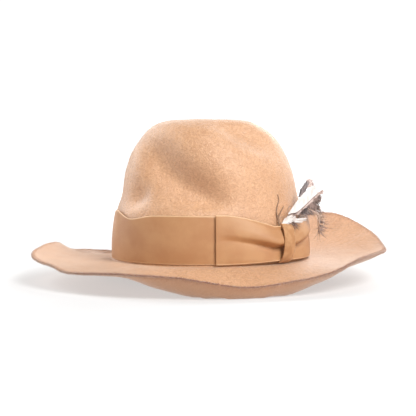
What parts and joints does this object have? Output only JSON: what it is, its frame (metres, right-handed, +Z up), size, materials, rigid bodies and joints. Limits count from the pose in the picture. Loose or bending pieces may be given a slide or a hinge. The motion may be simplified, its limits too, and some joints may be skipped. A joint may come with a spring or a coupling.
{
  "type": "felt fedora hat with ribbon band, side bow and feathers",
  "caption": "Soft felt hat with a pinched, creased crown, a wide waved brim, a ribbon band, a flat gathered side bow and small tucked feathers.",
  "frame": {"origin": "on the surface the hat rests on, under the middle of its bounding box", "axes": "+Z up, -Y towards the front of the hat, +X towards the wearer's left, where the bow is"},
  "size_m": [0.328, 0.3544, 0.1585],
  "materials": {
    "felt": "soft brushed wool felt, tan",
    "ribbon": "fine ribbed ribbon, brown tan, slight sheen",
    "white_feather": "off-white feather vane",
    "dark_feather": "grey-brown ragged feather barbs"
  },
  "bodies": {
    "root": {"felt_body": "felt", "ribbon_band": "ribbon", "bow_front_wing": "ribbon", "bow_rear_wing": "ribbon", "bow_knot": "ribbon", "feather_white": "white_feather", "feather_dark": "dark_feather"}
  },
  "joints": []
}
